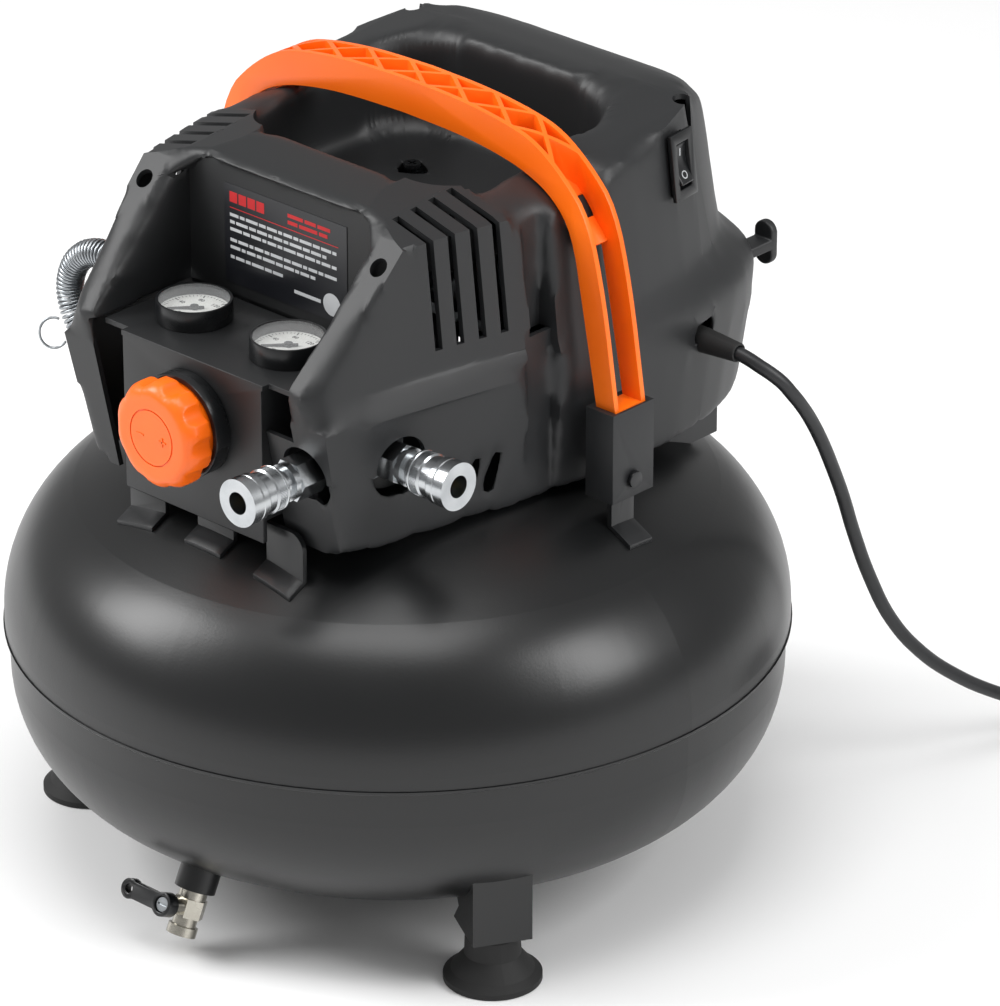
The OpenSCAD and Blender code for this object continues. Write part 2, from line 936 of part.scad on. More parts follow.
module coupler_sleeve() {
    difference() {
        union() {
            translate([0, 0, 40]) cylinder(d = 24, h = 8);
            translate([0, 0, 47]) cylinder(d = 22, h = 8);
            translate([0, 0, 54]) cylinder(d = 25, h = 5);
        }
        translate([0, 0, 30]) cylinder(d = 16.16, h = 60);
    }
}

module coupler_sleeve_front() {
    color("#d4d7da")
    at_front() coupler_sleeve();
}

module coupler_sleeve_side() {
    color("#d4d7da")
    at_side() coupler_sleeve();
}

module nose_ring() {
    difference() {
        translate([0, 0, 59.5]) cylinder(d = 25.5, h = 6.5);
        translate([0, 0, 59]) cylinder(d = 16, h = 6);
        cylinder(d = coupler_bore, h = 80);
    }
}

module coupler_nose_rings() {
    color("#d4d7da")
    union() {
        at_front() nose_ring();
        at_side() nose_ring();
    }
}

module poppet() {
    union() {
        translate([0, 0, 30]) cylinder(d = 3.5, h = 11);
        translate([0, 0, 40.5]) cylinder(d = 8, h = 3);
    }
}

module coupler_valves() {
    color("#a8843c")
    union() {
        at_front() poppet();
        at_side() poppet();
    }
}

// ---------- motor and pump ----------
module along_shaft(x) {
    translate([x, shaft_y, shaft_z]) rotate([0, 90, 0]) children();
}

module motor_stator() {
    color("#6e7276")
    union() {
        along_shaft(0)
        difference() {
            cylinder(r = motor_r, h = 46);
            translate([0, 0, -1]) cylinder(r = motor_r - 16, h = 60);
        }
        translate([0, shaft_y - 34, 265]) cube([46, 68, 6]);
    }
}

module motor_rotor() {
    color("#8a8d90")
    union() {
        along_shaft(2) cylinder(r = motor_r - 16.6, h = 42);
        along_shaft(-43) cylinder(d = 14, h = 46);
        along_shaft(43) cylinder(d = 12, h = 41);
        along_shaft(-46) cylinder(d = 40, h = 10);
        translate([0, crank_r, 0]) along_shaft(-60) cylinder(d = 9.9, h = 15);
    }
}

module motor_end_plate() {
    color("#8f9396")
    union() {
        for (y = [84, 158]) {
            translate([0, y, 265])
            difference() {
                translate([52, -9, 0]) cube([27, 18, 6]);
                translate([70, 0, -1]) cylinder(d = 6.2, h = 10);
            }
            translate([52, min(y, 130) - 9, 265]) cube([6, 46, 10]);
        }
        along_shaft(52)
        difference() {
            cylinder(r = motor_r, h = 6);
            translate([0, 0, -1]) cylinder(d = 12.16, h = 10);
        }
        for (a = [45, 135, 225, 315]) {
            translate([0, 34 * cos(a), 34 * sin(a)]) along_shaft(46) cylinder(d = 9, h = 6.1);
        }
    }
}

module cooling_fan() {
    color("#232426")
    along_shaft(66)
    difference() {
        union() {
            cylinder(d = 22, h = 14);
            translate([0, 0, 12]) cylinder(r = motor_r - 4, h = 2);
            for (i = [0:8]) {
                rotate([0, 0, i * 40]) translate([8, -1, 0]) cube([motor_r - 13, 2, 13]);
            }
        }
        translate([0, 0, -1]) cylinder(d = 12.02, h = 20);
    }
}

module pump_crankcase() {
    color("#a5a8ab")
    difference() {
        union() {
            translate([-72, shaft_y - 34, 265]) cube([48, 72, 74]);
            translate([-88, shaft_y - 44, 265]) cube([88, 88, 6]);
        }
        for (y = [84, 158]) {
            translate([-80, y, 250]) cylinder(d = 6.2, h = 40);
        }
        along_shaft(-80) cylinder(r = 32, h = 50);
        along_shaft(-40) cylinder(d = 14.16, h = 30);
        translate([pump_x, 60, shaft_z]) rotate([-90, 0, 0]) cylinder(d = 24, h = 50);
    }
}

module pump_cylinder() {
    color("#8f9396")
    translate([pump_x, shaft_y - 34, shaft_z])
    rotate([90, 0, 0])
    difference() {
        union() {
            cylinder(d = 38, h = 44);
            for (i = [0:5]) {
                translate([0, 0, 3 + i * 7]) cylinder(d = 50, h = 2.5);
            }
        }
        translate([0, 0, -1]) cylinder(d = 30.1, h = 60);
    }
}

module pump_piston() {
    color("#b5b8ba")
    union() {
        translate([pump_x, 62, shaft_z]) rotate([-90, 0, 0]) cylinder(d = 30, h = 9);
        translate([pump_x - 3, 70, shaft_z - 6]) cube([6, 26, 12]);
    }
}

module rod_bearing() {
    color("#c4c7ca")
    translate([0, crank_r, 0])
    along_shaft(pump_x - 4)
    difference() {
        cylinder(d = 22, h = 8);
        translate([0, 0, -1]) cylinder(d = 9.9, h = 12);
    }
}

module pump_head() {
    color("#a5a8ab")
    difference() {
        translate([pump_x - 25, 18, shaft_z - 25]) cube([50, 22, 50]);
        translate([pump_x, 30, shaft_z]) rotate([-90, 0, 0]) cylinder(d = 30, h = 12);
        for (i = [0:3]) {
            translate([pump_x - 18 + i * 11, 10, shaft_z - 30]) cube([4, 14, 60]);
        }
    }
}

// ---------- small air parts ----------
module pressure_switch() {
    color("#26282a")
    difference() {
        union() {
            translate([20, -72, 276]) cube([50, 46, 50]);
            translate([port_x[1], -60, 244]) cylinder(d = 15.8, h = 33);
        }
        translate([port_x[1], -60, 240]) cylinder(d = 6, h = 60);
    }
}

module safety_valve() {
    color("#b08d4a")
    translate([-20, -72, cpl_z])
    rotate([-90, 0, 0])
    union() {
        cylinder(d = 14, h = 10, $fn = 6);
        translate([0, 0, 10]) cylinder(d = 10, h = 14);
        translate([0, 0, 24]) cylinder(d = 3, h = 12);
    }
}

module safety_valve_ring() {
    color("#a9acaf")
    translate([-20, -72 + 36.5, cpl_z])
    union() {
        rotate([-90, 0, 0])
        translate([0, 0, -2.2])
        difference() {
            cylinder(d = 7, h = 3.4);
            translate([0, 0, -1]) cylinder(d = 3.1, h = 6);
        }
        translate([0, 10, 0]) rotate_extrude($fn = 48) translate([8, 0]) circle(d = 2, $fn = 16);
    }
}

module check_valve() {
    color("#b08d4a")
    translate([port_x[0], -60, 0])
    difference() {
        union() {
            translate([0, 0, 244]) cylinder(d = 15.8, h = 15);
            translate([0, 0, 258]) cylinder(d = 22, h = 10, $fn = 6);
        }
        translate([0, 0, 240]) cylinder(d = 7, h = 22);
        translate([0, 0, 262]) cylinder(d = pipe_d, h = 10);
    }
}

module delivery_pipe() {
    color("#b87333")
    translate([port_x[0], -60, 0])
    union() {
        translate([0, 0, 262]) cylinder(d = pipe_d, h = 34);
        translate([0, 14, 296]) rotate([90, 0, 90]) rotate([0, 0, 90])
        rotate_extrude(angle = 90, $fn = 48) translate([14, 0]) circle(d = pipe_d, $fn = 32);
        translate([0, 14, 310]) rotate([-90, 0, 0]) cylinder(d = pipe_d, h = 64);
    }
}

// ---------- strap spring and cord hooks ----------
module strap_spring() {
    color("#a9acaf")
    translate([-126.6, -88, 298])
    rotate([90, 0, 0])
    union() {
        rotate([0, 0, 62]) rotate_extrude(angle = 236, $fn = 96) translate([28, 0]) circle(d = 13, $fn = 32);
        // wire ends into the flank
        for (z = [24.5, -25]) {
            translate([11, z, 0]) rotate([0, 90, 0]) cylinder(d = 2.5, h = 16);
        }
    }
}

module cord_hooks() {
    color("#1a1b1c")
    for (s = [-1, 1]) {
        scale([s, 1, 1])
        translate([72, 183, 299])
        union() {
            cube([13, 20, 6]);
            translate([0, 19, -3]) cube([13, 5, 12]);
            for (z = [-3, 9]) {
                translate([6.5, 19, z]) rotate([-90, 0, 0]) cylinder(d = 13, h = 5);
            }
        }
    }
}

// ---------- mains lead ----------
module cord_grommet() {
    color("#1a1b1c")
    translate([cord_exit[0], cord_exit[1], cord_exit[2]])
    rotate([0, 90, 0])
    difference() {
        union() {
            translate([0, 0, -14]) cylinder(d = 13.8, h = 14);
            cylinder(d1 = 13.8, d2 = 10.4, h = 24);
            translate([0, 0, -17]) cylinder(d = 18, h = 4);
        }
        translate([0, 0, -20]) cylinder(d = cord_d, h = 60);
    }
}

function unit(v) = v / norm(v);
function heading(p, i) = unit(p[min(i + 1, len(p) - 1)] - p[max(i - 1, 0)]);
function ring_at(p, i, r, n) =
    let (t = heading(p, i))
    let (u = unit(cross([0.2, 0.1, 1], t)))
    let (w = cross(t, u))
    [for (k = [0:n - 1]) p[i] + r * (cos(360 * k / n) * u + sin(360 * k / n) * w)];

module swept_tube(p, r, n) {
    m = len(p);
    pts = [for (i = [0:m - 1]) each ring_at(p, i, r, n)];
    sides = [for (i = [0:m - 2]) for (k = [0:n - 1])
        [i * n + k, i * n + (k + 1) % n, (i + 1) * n + (k + 1) % n, (i + 1) * n + k]];
    first = [[for (k = [n - 1:-1:0]) k]];
    last = [[for (k = [0:n - 1]) (m - 1) * n + k]];
    polyhedron(points = pts, faces = concat(first, sides, last), convexity = 6);
}

module mains_cord() {
    color("#161718")
    union() {
        swept_tube(cord_run, cord_d / 2, 10);
        swept_tube(cord_tail, cord_d / 2, 10);
    }
}

module cord_coil() {
    color("#161718")
    translate([coil_at[0], coil_at[1], coil_low - cord_d / 2])
    rotate_extrude($fn = 96)
    polygon([[coil_in - cord_d / 2, 0], [coil_out + cord_d / 2, 0],
             [coil_out + cord_d / 2, 3 * cord_d], [coil_out - cord_d / 2, 3 * cord_d],
             [coil_out - cord_d / 2, 2 * cord_d], [coil_in - cord_d / 2, 2 * cord_d]]);
}

module mains_plug() {
    color("#161718")
    translate(plug_at)
    rotate([90, 0, -5])
    union() {
        // strain relief with ribs
        cylinder(d1 = 9.5, d2 = 13, h = 24);
        for (z = [4, 9, 14, 19]) {
            translate([0, 0, z]) cylinder(d = 13, h = 2.4);
        }
        // grip and face
        translate([0, 0, 24]) cylinder(d1 = 15, d2 = 26, h = 9);
        translate([0, 0, 33]) cylinder(d = 26, h = 12);
        translate([0, 0, 45]) cylinder(d1 = 26, d2 = 23, h = 3);
        // two blades and the earth pin
        for (x = [-6.35, 6.35]) {
            translate([x - 0.75, -6.5, 47]) cube([1.5, 6.3, 18]);
        }
        translate([0, 8.5, 47]) cylinder(d = 4.8, h = 19);
        translate([0, 8.5, 66]) sphere(d = 4.8, $fn = 32);
    }
}

// ---------- assembly ----------
tank_upper_shell();
tank_lower_shell();
seam_weld();
tank_ports();
tank_legs();
rubber_feet();
foot_bolts();
drain_boss();
drain_valve_body();
drain_lever();
drain_lever_screw();
cover_brackets();
pump_cradle();
cradle_mounts();
cradle_bolts();
lower_cover();
upper_cover();
control_panel();
cover_screws();
data_label();
carry_handle();
handle_clips();
handle_bolts();
switch_body();
switch_rocker();
gauge_cases();
gauge_dials();
gauge_needle_left();
gauge_needle_right();
gauge_lenses();
regulator_body();
regulator_collar();
regulator_knob();
air_manifold();
coupler_bodies();
coupler_sleeve_front();
coupler_sleeve_side();
coupler_nose_rings();
coupler_valves();
motor_stator();
motor_rotor();
motor_end_plate();
cooling_fan();
pump_crankcase();
pump_cylinder();
pump_piston();
rod_bearing();
pump_head();
pressure_switch();
safety_valve();
safety_valve_ring();
check_valve();
delivery_pipe();
strap_spring();
cord_hooks();
cord_grommet();
mains_cord();
cord_coil();
mains_plug();
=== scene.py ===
# %% [markdown]
# # A portable air compressor, piece by piece
# The machine is a flat round tank on three feet. A moulded cover on top hides a small motor and a
# piston pump. Gauges, a pressure knob and two hose couplers sit at the front, and an orange
# handle crosses the cover. The solid model comes in as a fixed frame, in metres, so every piece
# made here only has to read its place from that frame.

# %% Load the frame
import math

import bmesh
import bpy
from mathutils import Matrix, Vector


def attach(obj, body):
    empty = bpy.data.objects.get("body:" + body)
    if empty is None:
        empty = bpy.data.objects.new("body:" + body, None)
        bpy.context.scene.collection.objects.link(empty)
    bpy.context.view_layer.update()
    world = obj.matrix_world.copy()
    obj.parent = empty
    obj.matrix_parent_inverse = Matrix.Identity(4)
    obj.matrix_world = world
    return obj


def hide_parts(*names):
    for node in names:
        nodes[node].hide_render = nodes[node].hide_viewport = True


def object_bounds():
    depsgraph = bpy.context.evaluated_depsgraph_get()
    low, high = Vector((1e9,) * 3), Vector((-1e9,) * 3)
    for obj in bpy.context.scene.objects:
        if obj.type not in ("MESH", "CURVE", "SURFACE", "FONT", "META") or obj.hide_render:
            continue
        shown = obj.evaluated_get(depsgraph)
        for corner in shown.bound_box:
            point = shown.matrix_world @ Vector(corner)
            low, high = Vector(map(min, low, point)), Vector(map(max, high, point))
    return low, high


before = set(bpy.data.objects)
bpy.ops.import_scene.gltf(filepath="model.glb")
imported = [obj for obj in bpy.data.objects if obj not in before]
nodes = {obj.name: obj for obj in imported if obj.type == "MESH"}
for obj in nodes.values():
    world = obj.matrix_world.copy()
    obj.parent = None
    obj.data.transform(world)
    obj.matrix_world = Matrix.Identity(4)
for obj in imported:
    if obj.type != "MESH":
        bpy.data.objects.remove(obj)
cad_low, cad_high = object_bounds()
UPRIGHT = Matrix.Rotation(math.radians(90), 4, "X")
print("nodes:", len(nodes), "box:", [round(v, 3) for v in (*cad_low, *cad_high)])

# %% [markdown]
# ## The camera
# A long lens far away keeps the tank's round outline almost undistorted, as catalogue views do.
# The camera stands to the right of the front and looks down by about 26 degrees.

# %% Camera
camera_data = bpy.data.cameras.new("studio_camera")
camera_data.lens = 224.6
camera_data.sensor_width = 36
camera_data.clip_end = 20
camera = bpy.data.objects.new("studio_camera", camera_data)
camera.location = (2.0915, -2.1507, 1.6394)
camera.rotation_euler = (math.radians(64.24), 0, math.radians(43.16))
scene = bpy.context.scene
scene.collection.objects.link(camera)
scene.camera = camera
scene.view_settings.view_transform = "Standard"
print("camera at", tuple(camera.location))

# %% [markdown]
# ## The mains lead
# The lead is a 7.5 mm rubber cable, about 1.8 m long. It leaves the right flank through a strain
# relief, bends down under its own weight, reaches the floor behind the tank and ends in a flat
# coil with its plug. A Bezier curve with automatic handles passes exactly through every point of
# the route, and its round section comes from the curve's own bevel depth.

# %% Route of the lead
LEAD_DIAMETER = 0.0075
LEAD_RUN = [(121, 107, 289), (128, 107, 289), (135, 107, 289), (142.5, 107.5, 288.5),
            (149.5, 109, 286.5), (156, 111.5, 283), (161, 115, 279), (165, 119, 274),
            (167.5, 123, 268), (168.5, 130, 259), (168, 139, 247), (168, 148, 232),
            (167, 158, 214), (166, 169, 192), (165, 181, 164), (166, 194, 134), (168, 211, 103),
            (172, 232, 77), (177, 257, 55), (183, 285, 36), (189, 313, 21), (194.3, 340, 10),
            (199.6, 367.3, 5), (205.7, 391.5, 4)]
LEAD_TAIL = [(299.75, 380, 19), (299.75, 372, 18.6), (299.6, 364, 17.4), (299.2, 356, 15.9),
             (298.6, 348, 14.6), (297.9, 340, 13.9), (297.2, 332, 13.6)]
COIL_CENTRE = (252, 380)


def ease(value, start, end):
    """0 before start, 1 after end, and a soft S between them."""
    t = min(max((value - start) / (end - start), 0), 1)
    return t * t * (3 - 2 * t)


def coil_point(turned):
    """Point on the coil after turning that many degrees, clockwise seen from above."""
    inward = ease(turned, 290, 345) - ease(turned, 960, 1020)
    radius = 47.75 - 7.5 * inward
    height = 4 + 7.5 * ease(turned, 630, 690) + 7.5 * ease(turned, 1300, 1360)
    angle = math.radians(166 - turned)
    return (COIL_CENTRE[0] + radius * math.cos(angle),
            COIL_CENTRE[1] + radius * math.sin(angle), height)


coil = [coil_point(step) for step in range(15, 1606, 15)]
route = [Vector(p) / 1000 for p in LEAD_RUN + coil + LEAD_TAIL]

# %% The lead as one tube
lead_curve = bpy.data.curves.new("lead_route", "CURVE")
lead_curve.dimensions = "3D"
lead_curve.bevel_depth = LEAD_DIAMETER / 2
lead_curve.bevel_resolution = 5
lead_curve.resolution_u = 5
lead_curve.use_fill_caps = True
spline = lead_curve.splines.new("BEZIER")
spline.bezier_points.add(len(route) - 1)
for knot, place in zip(spline.bezier_points, route):
    knot.co = place
    knot.handle_left_type = knot.handle_right_type = "AUTO"
guide = bpy.data.objects.new("lead_route", lead_curve)
scene.collection.objects.link(guide)
bpy.context.view_layer.update()
lead_mesh = bpy.data.meshes.new_from_object(
    guide.evaluated_get(bpy.context.evaluated_depsgraph_get()))
bpy.data.objects.remove(guide)
lead = bpy.data.objects.new("mains_lead", lead_mesh)
scene.collection.objects.link(lead)
for face in lead_mesh.polygons:
    face.use_smooth = True
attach(lead, "base")
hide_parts("mains_cord", "cord_coil")
print("lead faces:", len(lead_mesh.polygons))

# %% [markdown]
# ## Floor and studio light
# A white sweep under a bright, even sky gives the soft look of a light tent. Two large panels, one
# on each side, draw the long pale bands on the satin tank, and a third above the front
# lifts the gauges.

# %% Floor
floor_mesh = bpy.data.meshes.new("studio_floor")
form = bmesh.new()
bmesh.ops.create_grid(form, x_segments=1, y_segments=1, size=6)
form.to_mesh(floor_mesh)
form.free()
floor = bpy.data.objects.new("studio_floor", floor_mesh)
floor.location.z = cad_low.z - 0.0005
scene.collection.objects.link(floor)

# %% Light
sky = bpy.data.worlds.new("studio_sky")
scene.world = sky
sky.use_nodes = True
sky.node_tree.nodes["Background"].inputs["Color"].default_value = (1, 1, 1, 1)
sky.node_tree.nodes["Background"].inputs["Strength"].default_value = 0.42


def soft_panel(name, place, target, watts, wide, high):
    """A rectangular soft light at place that faces target."""
    lamp = bpy.data.lights.new(name, "AREA")
    lamp.shape = "RECTANGLE"
    lamp.energy, lamp.size, lamp.size_y = watts, wide, high
    panel = bpy.data.objects.new(name, lamp)
    panel.location = place
    panel.rotation_euler = (Vector(target) - panel.location).to_track_quat("-Z", "Y").to_euler()
    scene.collection.objects.link(panel)


soft_panel("panel_left", (-1.7, -1.5, 1.9), (0, 0, 0.2), 60, 1.1, 1.5)
soft_panel("panel_right", (2.2, 0.7, 1.7), (0, 0, 0.2), 42, 1.0, 1.5)
soft_panel("panel_top", (0.3, -0.5, 2.6), (0, 0, 0.3), 30, 1.6, 1.2)

# %% [markdown]
# ## Finishes
# Every finish is a small node tree on one Principled shader. Noise in Object coordinates gives
# the colour its slight drift, another noise the roughness, and a fine one a bump. The helper
# below makes the common part, and each finish then gets its own grain and scale.


# %% Helper for finishes
def linear(hex_colour):
    """A hex colour as linear red, green, blue."""
    parts = [int(hex_colour[i:i + 2], 16) / 255 for i in (1, 3, 5)]
    return tuple(p / 12.92 if p <= 0.04045 else ((p + 0.055) / 1.055) ** 2.4 for p in parts)


def finish(name, dark, light, rough, metal=0.0, drift=6, grain=900, bump=0.2, depth=0.0001,
           pattern="noise", stretch=(1, 1, 1), spread=0.05):
    """A Principled material: colour drifts from dark to light, with a fine bump over it."""
    made = bpy.data.materials.new(name)
    made.use_nodes = True
    tree = made.node_tree
    shader = tree.nodes["Principled BSDF"]
    shader.inputs["Metallic"].default_value = metal
    place = tree.nodes.new("ShaderNodeTexCoord").outputs["Object"]
    patch = tree.nodes.new("ShaderNodeTexNoise")
    patch.inputs["Scale"].default_value = drift
    patch.inputs["Detail"].default_value = 6
    tree.links.new(place, patch.inputs["Vector"])
    tint = tree.nodes.new("ShaderNodeValToRGB")
    tint.color_ramp.elements[0].position = 0.3
    tint.color_ramp.elements[1].position = 0.7
    tint.color_ramp.elements[0].color = (*linear(dark), 1)
    tint.color_ramp.elements[1].color = (*linear(light), 1)
    tree.links.new(patch.outputs["Fac"], tint.inputs["Fac"])
    tree.links.new(tint.outputs["Color"], shader.inputs["Base Color"])
    gloss = tree.nodes.new("ShaderNodeMapRange")
    gloss.inputs["To Min"].default_value = rough - spread
    gloss.inputs["To Max"].default_value = rough + spread
    tree.links.new(patch.outputs["Fac"], gloss.inputs["Value"])
    tree.links.new(gloss.outputs["Result"], shader.inputs["Roughness"])
    turn = tree.nodes.new("ShaderNodeMapping")
    turn.inputs["Scale"].default_value = stretch
    tree.links.new(place, turn.inputs["Vector"])
    kind = {"noise": "ShaderNodeTexNoise", "cells": "ShaderNodeTexVoronoi"}[pattern]
    texture = tree.nodes.new(kind)
    texture.inputs["Scale"].default_value = grain
    tree.links.new(turn.outputs["Vector"], texture.inputs["Vector"])
    relief = tree.nodes.new("ShaderNodeBump")
    relief.inputs["Strength"].default_value = bump
    relief.inputs["Distance"].default_value = depth
    tree.links.new(texture.outputs[0], relief.inputs["Height"])
    tree.links.new(relief.outputs["Normal"], shader.inputs["Normal"])
    return made


def socket(material, **values):
    """Sets sockets on the material's own shader, such as coat_weight=0.3."""
    shader = material.node_tree.nodes["Principled BSDF"]
    for word, value in values.items():
        shader.inputs[word.replace("_", " ").title().replace("Ior", "IOR")].default_value = value
    return material


# %% [markdown]
# The tank wears a satin powder coat: near black, with a very fine orange peel. The cover and its
# panel are moulded plastic with a fine spark-eroded grain, a little lighter and more matte.

# %% Paint and plastics
tank_paint = finish("tank_paint", "#090a0b", "#0d0e0f", 0.33, grain=700, bump=0.10, depth=0.0003)
cover_plastic = finish("cover_plastic", "#191a1b", "#1e1f21", 0.48, drift=4, grain=2600, bump=0.25,
                       pattern="cells")
gloss_black = finish("gloss_black", "#101112", "#17181a", 0.28, drift=30, grain=1400, bump=0.05)
orange_plastic = finish("orange_plastic", "#f76300", "#ff7410", 0.36, drift=9, grain=2200,
                        bump=0.12, pattern="cells")
black_rubber = finish("black_rubber", "#121212", "#1c1c1c", 0.70, drift=40, grain=1100, bump=0.3)
lead_sheath = finish("lead_sheath", "#17181a", "#222325", 0.46, drift=60, grain=1500, bump=0.18)

# %% [markdown]
# Metals: bright chrome on the coupler sleeves, duller nickel and zinc on valve and bolts, brass in
# the coupler mouths, copper for the pipe. Machined parts get a bump that is stretched along one
# axis, because a lathe leaves its marks in rings.

# %% Metals
chrome_plate = finish("chrome_plate", "#a9acaf", "#bfc2c4", 0.23, 1, 80, 1800, 0.03,
                      spread=0.03)
nickel = finish("nickel", "#a9a59b", "#c4c0b5", 0.26, 1, 90, 1300, 0.08)
zinc_steel = finish("zinc_steel", "#8f9397", "#b3b7ba", 0.34, 1, 120, 1500, 0.12, pattern="cells")
brass = finish("brass", "#9c7a34", "#c29a4a", 0.26, 1, 90, 1200, 0.08)
copper = finish("copper", "#a8623c", "#c47b4f", 0.30, 1, 40, 900, 0.1)
cast_aluminium = finish("cast_aluminium", "#8b8f92", "#a8acaf", 0.52, 1, 60, 650, 0.5, 0.0003,
                        pattern="cells")
lamination_steel = finish("lamination_steel", "#4f5458", "#6c7276", 0.42, 1, 30, 260, 0.5, 0.0003,
                          stretch=(8, 1, 1))
bracket_paint = finish("bracket_paint", "#161718", "#1f2022", 0.34, drift=20, grain=800, bump=0.12)
plain_label = finish("label_film", "#15161a", "#1b1c20", 0.30, drift=20, grain=1800, bump=0.05)
dial_white = finish("dial_white", "#c4c5c1", "#d2d3cf", 0.55, drift=50, grain=2500, bump=0.04)
print("finishes:", len(bpy.data.materials))

# %% [markdown]
# The gauge windows are thin clear discs. Real refraction would hide the dial in a short render, so
# the shader lets most light straight through by its alpha and keeps only the gloss.

# %% Clear window
clear_lens = finish("clear_lens", "#f2f5f6", "#ffffff", 0.06, drift=20, grain=900, bump=0.01,
                    spread=0.02)
socket(clear_lens, alpha=0.10, coat_weight=1.0)

# %% [markdown]
# ## Dressing the frame
# Each frame node takes the finish of the real piece: paint on the tank, grained plastic on the
# covers, chrome on the sleeves. Pieces that are made new further down copy the finish of the
# node they stand in for.

# %% Finish of every node
WEARS = {
    tank_paint: ["tank_upper_shell", "tank_lower_shell", "seam_weld", "tank_legs", "tank_ports",
                 "drain_boss"],
    bracket_paint: ["cover_brackets", "pump_cradle"],
    cover_plastic: ["lower_cover", "upper_cover", "control_panel", "handle_clips", "cord_hooks"],
    gloss_black: ["switch_body", "switch_rocker", "gauge_cases", "gauge_needle_left",
                  "gauge_needle_right", "drain_lever", "cooling_fan", "pressure_switch",
                  "regulator_collar", "cover_screws", "handle_bolts"],
    orange_plastic: ["carry_handle", "regulator_knob"],
    black_rubber: ["rubber_feet", "cradle_mounts", "cord_grommet", "mains_plug"],
    zinc_steel: ["foot_bolts", "cradle_bolts", "drain_lever_screw",
                 "strap_spring", "safety_valve_ring", "rod_bearing"],
    chrome_plate: ["coupler_bodies", "coupler_sleeve_front", "coupler_sleeve_side",
                   "coupler_nose_rings"],
    nickel: ["drain_valve_body"],
    brass: ["coupler_valves", "safety_valve", "check_valve"],
    copper: ["delivery_pipe"],
    cast_aluminium: ["motor_end_plate", "pump_crankcase", "pump_cylinder", "pump_piston",
                     "pump_head", "air_manifold", "regulator_body"],
    lamination_steel: ["motor_stator", "motor_rotor"],
    dial_white: ["gauge_dials"],
    plain_label: ["data_label"],
    clear_lens: ["gauge_lenses"],
}


def dress(piece, material):
    """Gives the piece one material in place of whatever it had."""
    piece.data.materials.clear()
    piece.data.materials.append(material)


for material, names in WEARS.items():
    for name in names:
        if name in nodes:
            dress(nodes[name], material)
dress(lead, lead_sheath)
bare = [name for name in nodes if name not in sum(WEARS.values(), [])]
print("nodes without a finish:", bare)

# %% [markdown]
# ## The moulded cover
# The real cover is one injection moulding: every edge is rounded, because molten plastic does not
# fill a sharp corner. The frame's cover has the right walls and openings but sharp edges. A copy
# of it is merged, cut into small even triangles, and relaxed: the open skin gets many rounds of
# smoothing, and the vents, pits and coupler holes none, so small features stay crisp while the
# large edges get the broad radius of the real moulding. The parting line is left alone, so that
# both halves still meet.


# %% Softening a moulding
def spare_mesh(source):
    """A merged copy of a frame node's mesh as a bmesh."""
    shape = bmesh.new()
    shape.from_mesh(nodes[source].data)
    bmesh.ops.remove_doubles(shape, verts=shape.verts, dist=1e-5)
    return shape


def applied(shape, name):
    """An object from the bmesh, which is freed."""
    mesh = bpy.data.meshes.new(name)
    shape.to_mesh(mesh)
    shape.free()
    piece = bpy.data.objects.new(name, mesh)
    scene.collection.objects.link(piece)
    return piece


def divided(shape, longest):
    """Cuts the edges of the bmesh in half until none is longer than longest."""
    bmesh.ops.dissolve_limit(shape, angle_limit=math.radians(0.4), verts=shape.verts,
                             edges=shape.edges)
    for turn in range(9):
        bmesh.ops.triangulate(shape, faces=shape.faces)
        slack = [edge for edge in shape.edges if edge.calc_length() > longest]
        if not slack:
            break
        bmesh.ops.subdivide_edges(shape, edges=slack, cuts=1)
    bmesh.ops.triangulate(shape, faces=shape.faces)
    return shape


def relax(shape, rounds, crisp):
    """Smooths the bmesh where crisp(x, y, z) is false."""
    free = [v for v in shape.verts if not crisp(abs(v.co.x), v.co.y, v.co.z)]
    for turn in range(rounds):
        bmesh.ops.smooth_vert(shape, verts=free, factor=0.5,
                              use_axis_x=True, use_axis_y=True, use_axis_z=True)
    return shape


def shaded(shape, angle=32):
    """Smooth faces, with an edge sharp where its faces turn by more than the angle."""
    for face in shape.faces:
        face.smooth = True
    for edge in shape.edges:
        edge.smooth = not edge.is_manifold or edge.calc_face_angle(0) < math.radians(angle)
    return shape


def crisp_on_cover(x, y, z):
    """True near the vents, pits, switch, couplers, rims and the parting line."""
    vents = 0.050 < x < 0.14 and -0.082 < y < -0.026 and z > 0.333
    pits = (abs(x - 0.084) < 0.009 and abs(y + 0.093) < 0.012 and z > 0.36) or (
        abs(x - 0.096) < 0.007 and abs(y - 0.115) < 0.007)
    switch = x > 0.092 and 0.082 < y < 0.114 and z > 0.362
    coupler = x > 0.088 and abs(y + 0.101) < 0.021 and z < 0.304
    groove = x > 0.095 and -0.030 < y < 0.001 and 0.318 < z < 0.347
    seam = z < 0.290
    holes = y < -0.118 and 0.045 < x < 0.096 and z < 0.312
    return vents or pits or switch or holes or coupler or groove or seam


def crisp_front(x, y, z):
    """The same, and the narrow front faces beside the panel."""
    return crisp_on_cover(x, y, z) or (y < -0.118 and x < 0.080 and z < 0.345)


def all_but_crown(x, y, z):
    """True everywhere but on the rear top, which has the broadest radius."""
    return crisp_on_cover(x, y, z) or y < 0.112 or z < 0.340


def crisp_below(x, y, z):
    """True near the parting line, the vents and the coupler holes of the lower half."""
    return z > 0.279 or (x < 0.080 and y < -0.1)


def moulding(source, name, longest, stages, body="base", angle=32):
    """A softened stand-in: each stage is a number of rounds and the test for what stays crisp."""
    shape = divided(spare_mesh(source), longest)
    for rounds, crisp in stages:
        relax(shape, rounds, crisp)
    piece = applied(shaded(shape, angle), name)
    dress(piece, nodes[source].data.materials[0])
    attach(piece, body)
    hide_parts(source)
    print(name, "faces:", len(piece.data.polygons))
    return piece


